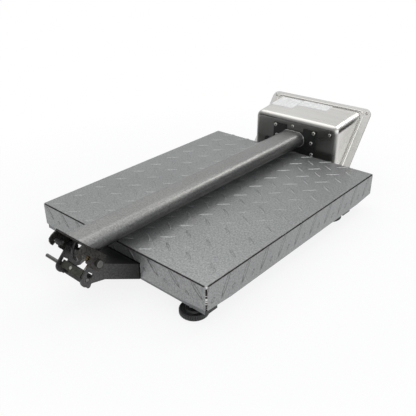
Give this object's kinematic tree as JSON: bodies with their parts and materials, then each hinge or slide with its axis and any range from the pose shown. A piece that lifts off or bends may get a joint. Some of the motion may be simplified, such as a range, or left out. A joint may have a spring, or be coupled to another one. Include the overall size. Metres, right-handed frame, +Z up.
{
  "type": "folding platform scale",
  "caption": "Folding platform scale: steel weighing platform on adjustable feet, hinged column folded flat over it, and a stainless indicator head.",
  "frame": {"origin": "bottom centre of the whole scale in its folded state, on the floor under the feet", "axes": "+Z up, +Y towards the column's hinge, +X to the side where the latch rod sticks out"},
  "size_m": [0.4, 0.7216, 0.157],
  "materials": {
    "grey_paint": "fine grey hammertone texture",
    "black_paint": "satin black",
    "frame_paint": "dark grey",
    "stainless": "brushed",
    "zinc": "bright zinc",
    "aluminium": "milled",
    "black_plastic": "moulded",
    "dark_plastic": "smooth",
    "key_plastic": "smooth",
    "rubber": "moulded",
    "cable": "smooth",
    "board": "solder mask",
    "display": "dark display",
    "window": "clear",
    "label": "blank foil",
    "bronze": "spring wire"
  },
  "bodies": {
    "base": {"platform_pan": "grey_paint", "pan_pads": "rubber", "upper_cross_tubes": "frame_paint", "upper_spine": "frame_paint", "load_cell": "aluminium", "cell_spacers": "zinc", "cell_bolts": "zinc", "overload_stops": "zinc", "base_front_tube": "frame_paint", "base_rear_tube": "frame_paint", "base_spine": "frame_paint", "tube_end_caps": "black_plastic", "column_arm": "grey_paint", "pivot_pin": "zinc", "pivot_nut": "zinc", "pivot_bush": "zinc", "latch_spring": "bronze", "foot_lock_nuts": "zinc", "foot_weld_nuts": "zinc", "lead_base": "cable"},
    "column": {"column_tube": "grey_paint", "hinge_hook": "grey_paint", "hook_grommet": "rubber", "column_rest_pad": "rubber", "lead_column": "cable", "lead_loop": "cable", "head_bracket": "black_paint", "bracket_screws": "zinc", "case_screws": "zinc", "head_tub": "stainless", "head_grommet": "rubber", "panel_gasket": "rubber", "front_panel": "stainless", "panel_screws": "zinc", "display_window": "window", "display_module": "display", "front_board": "board", "battery": "black_plastic", "battery_strap": "zinc", "power_rocker_housing": "black_plastic", "charge_inlet": "black_plastic", "blank_labels": "label"},
    "latch": {"latch_rod": "zinc", "latch_bar": "grey_paint", "latch_screw": "zinc"},
    "rocker": {"power_rocker": "dark_plastic"},
    "key_1_body": {"key_1": "key_plastic"},
    "key_2_body": {"key_2": "key_plastic"},
    "key_3_body": {"key_3": "key_plastic"},
    "key_4_body": {"key_4": "key_plastic"},
    "key_5_body": {"key_5": "key_plastic"},
    "key_6_body": {"key_6": "key_plastic"},
    "foot_front_right": {"foot_disc_front_right": "black_plastic", "foot_pad_front_right": "rubber"},
    "foot_front_left": {"foot_disc_front_left": "black_plastic", "foot_pad_front_left": "rubber"},
    "foot_rear_right": {"foot_disc_rear_right": "black_plastic", "foot_pad_rear_right": "rubber"},
    "foot_rear_left": {"foot_disc_rear_left": "black_plastic", "foot_pad_rear_left": "rubber"}
  },
  "joints": [
    {"name": "column_fold", "type": "hinge", "parent": "base", "child": "column", "pos_m": [0, 0.32533, 0.0733], "axis": [-1, 0, 0], "range_deg": [0, 90], "deforming": ["lead_loop"]},
    {"name": "latch_slide", "type": "slide", "parent": "base", "child": "latch", "axis": [0, -0.7071, 0.7071], "range_m": [0, 0.007], "stiffness_N_per_m": 300, "springref_m": -0.005, "deforming": ["latch_spring"]},
    {"name": "rocker_tilt", "type": "hinge", "parent": "column", "child": "rocker", "pos_m": [-0.074, -0.25367, 0.0533], "axis": [1, 0, 0], "range_deg": [0, 20]},
    {"name": "key_1_press", "type": "slide", "parent": "column", "child": "key_1_body", "axis": [0, 0.808, 0.5892], "range_m": [0, 0.001], "stiffness_N_per_m": 500, "springref_m": -0.0008},
    {"name": "key_2_press", "type": "slide", "parent": "column", "child": "key_2_body", "axis": [0, 0.808, 0.5892], "range_m": [0, 0.001], "stiffness_N_per_m": 500, "springref_m": -0.0008},
    {"name": "key_3_press", "type": "slide", "parent": "column", "child": "key_3_body", "axis": [0, 0.808, 0.5892], "range_m": [0, 0.001], "stiffness_N_per_m": 500, "springref_m": -0.0008},
    {"name": "key_4_press", "type": "slide", "parent": "column", "child": "key_4_body", "axis": [0, 0.808, 0.5892], "range_m": [0, 0.001], "stiffness_N_per_m": 500, "springref_m": -0.0008},
    {"name": "key_5_press", "type": "slide", "parent": "column", "child": "key_5_body", "axis": [0, 0.808, 0.5892], "range_m": [0, 0.001], "stiffness_N_per_m": 500, "springref_m": -0.0008},
    {"name": "key_6_press", "type": "slide", "parent": "column", "child": "key_6_body", "axis": [0, 0.808, 0.5892], "range_m": [0, 0.001], "stiffness_N_per_m": 500, "springref_m": -0.0008},
    {"name": "foot_turn_front_right", "type": "hinge", "parent": "base", "child": "foot_front_right", "pos_m": [-0.1615, -0.14467, 0.0133], "axis": [0, 0, 1], "continuous": true},
    {"name": "foot_turn_front_left", "type": "hinge", "parent": "base", "child": "foot_front_left", "pos_m": [0.1615, -0.14467, 0.0133], "axis": [0, 0, 1], "continuous": true},
    {"name": "foot_turn_rear_right", "type": "hinge", "parent": "base", "child": "foot_rear_right", "pos_m": [-0.1615, 0.25033, 0.0133], "axis": [0, 0, 1], "continuous": true},
    {"name": "foot_turn_rear_left", "type": "hinge", "parent": "base", "child": "foot_rear_left", "pos_m": [0.1615, 0.25033, 0.0133], "axis": [0, 0, 1], "continuous": true}
  ]
}
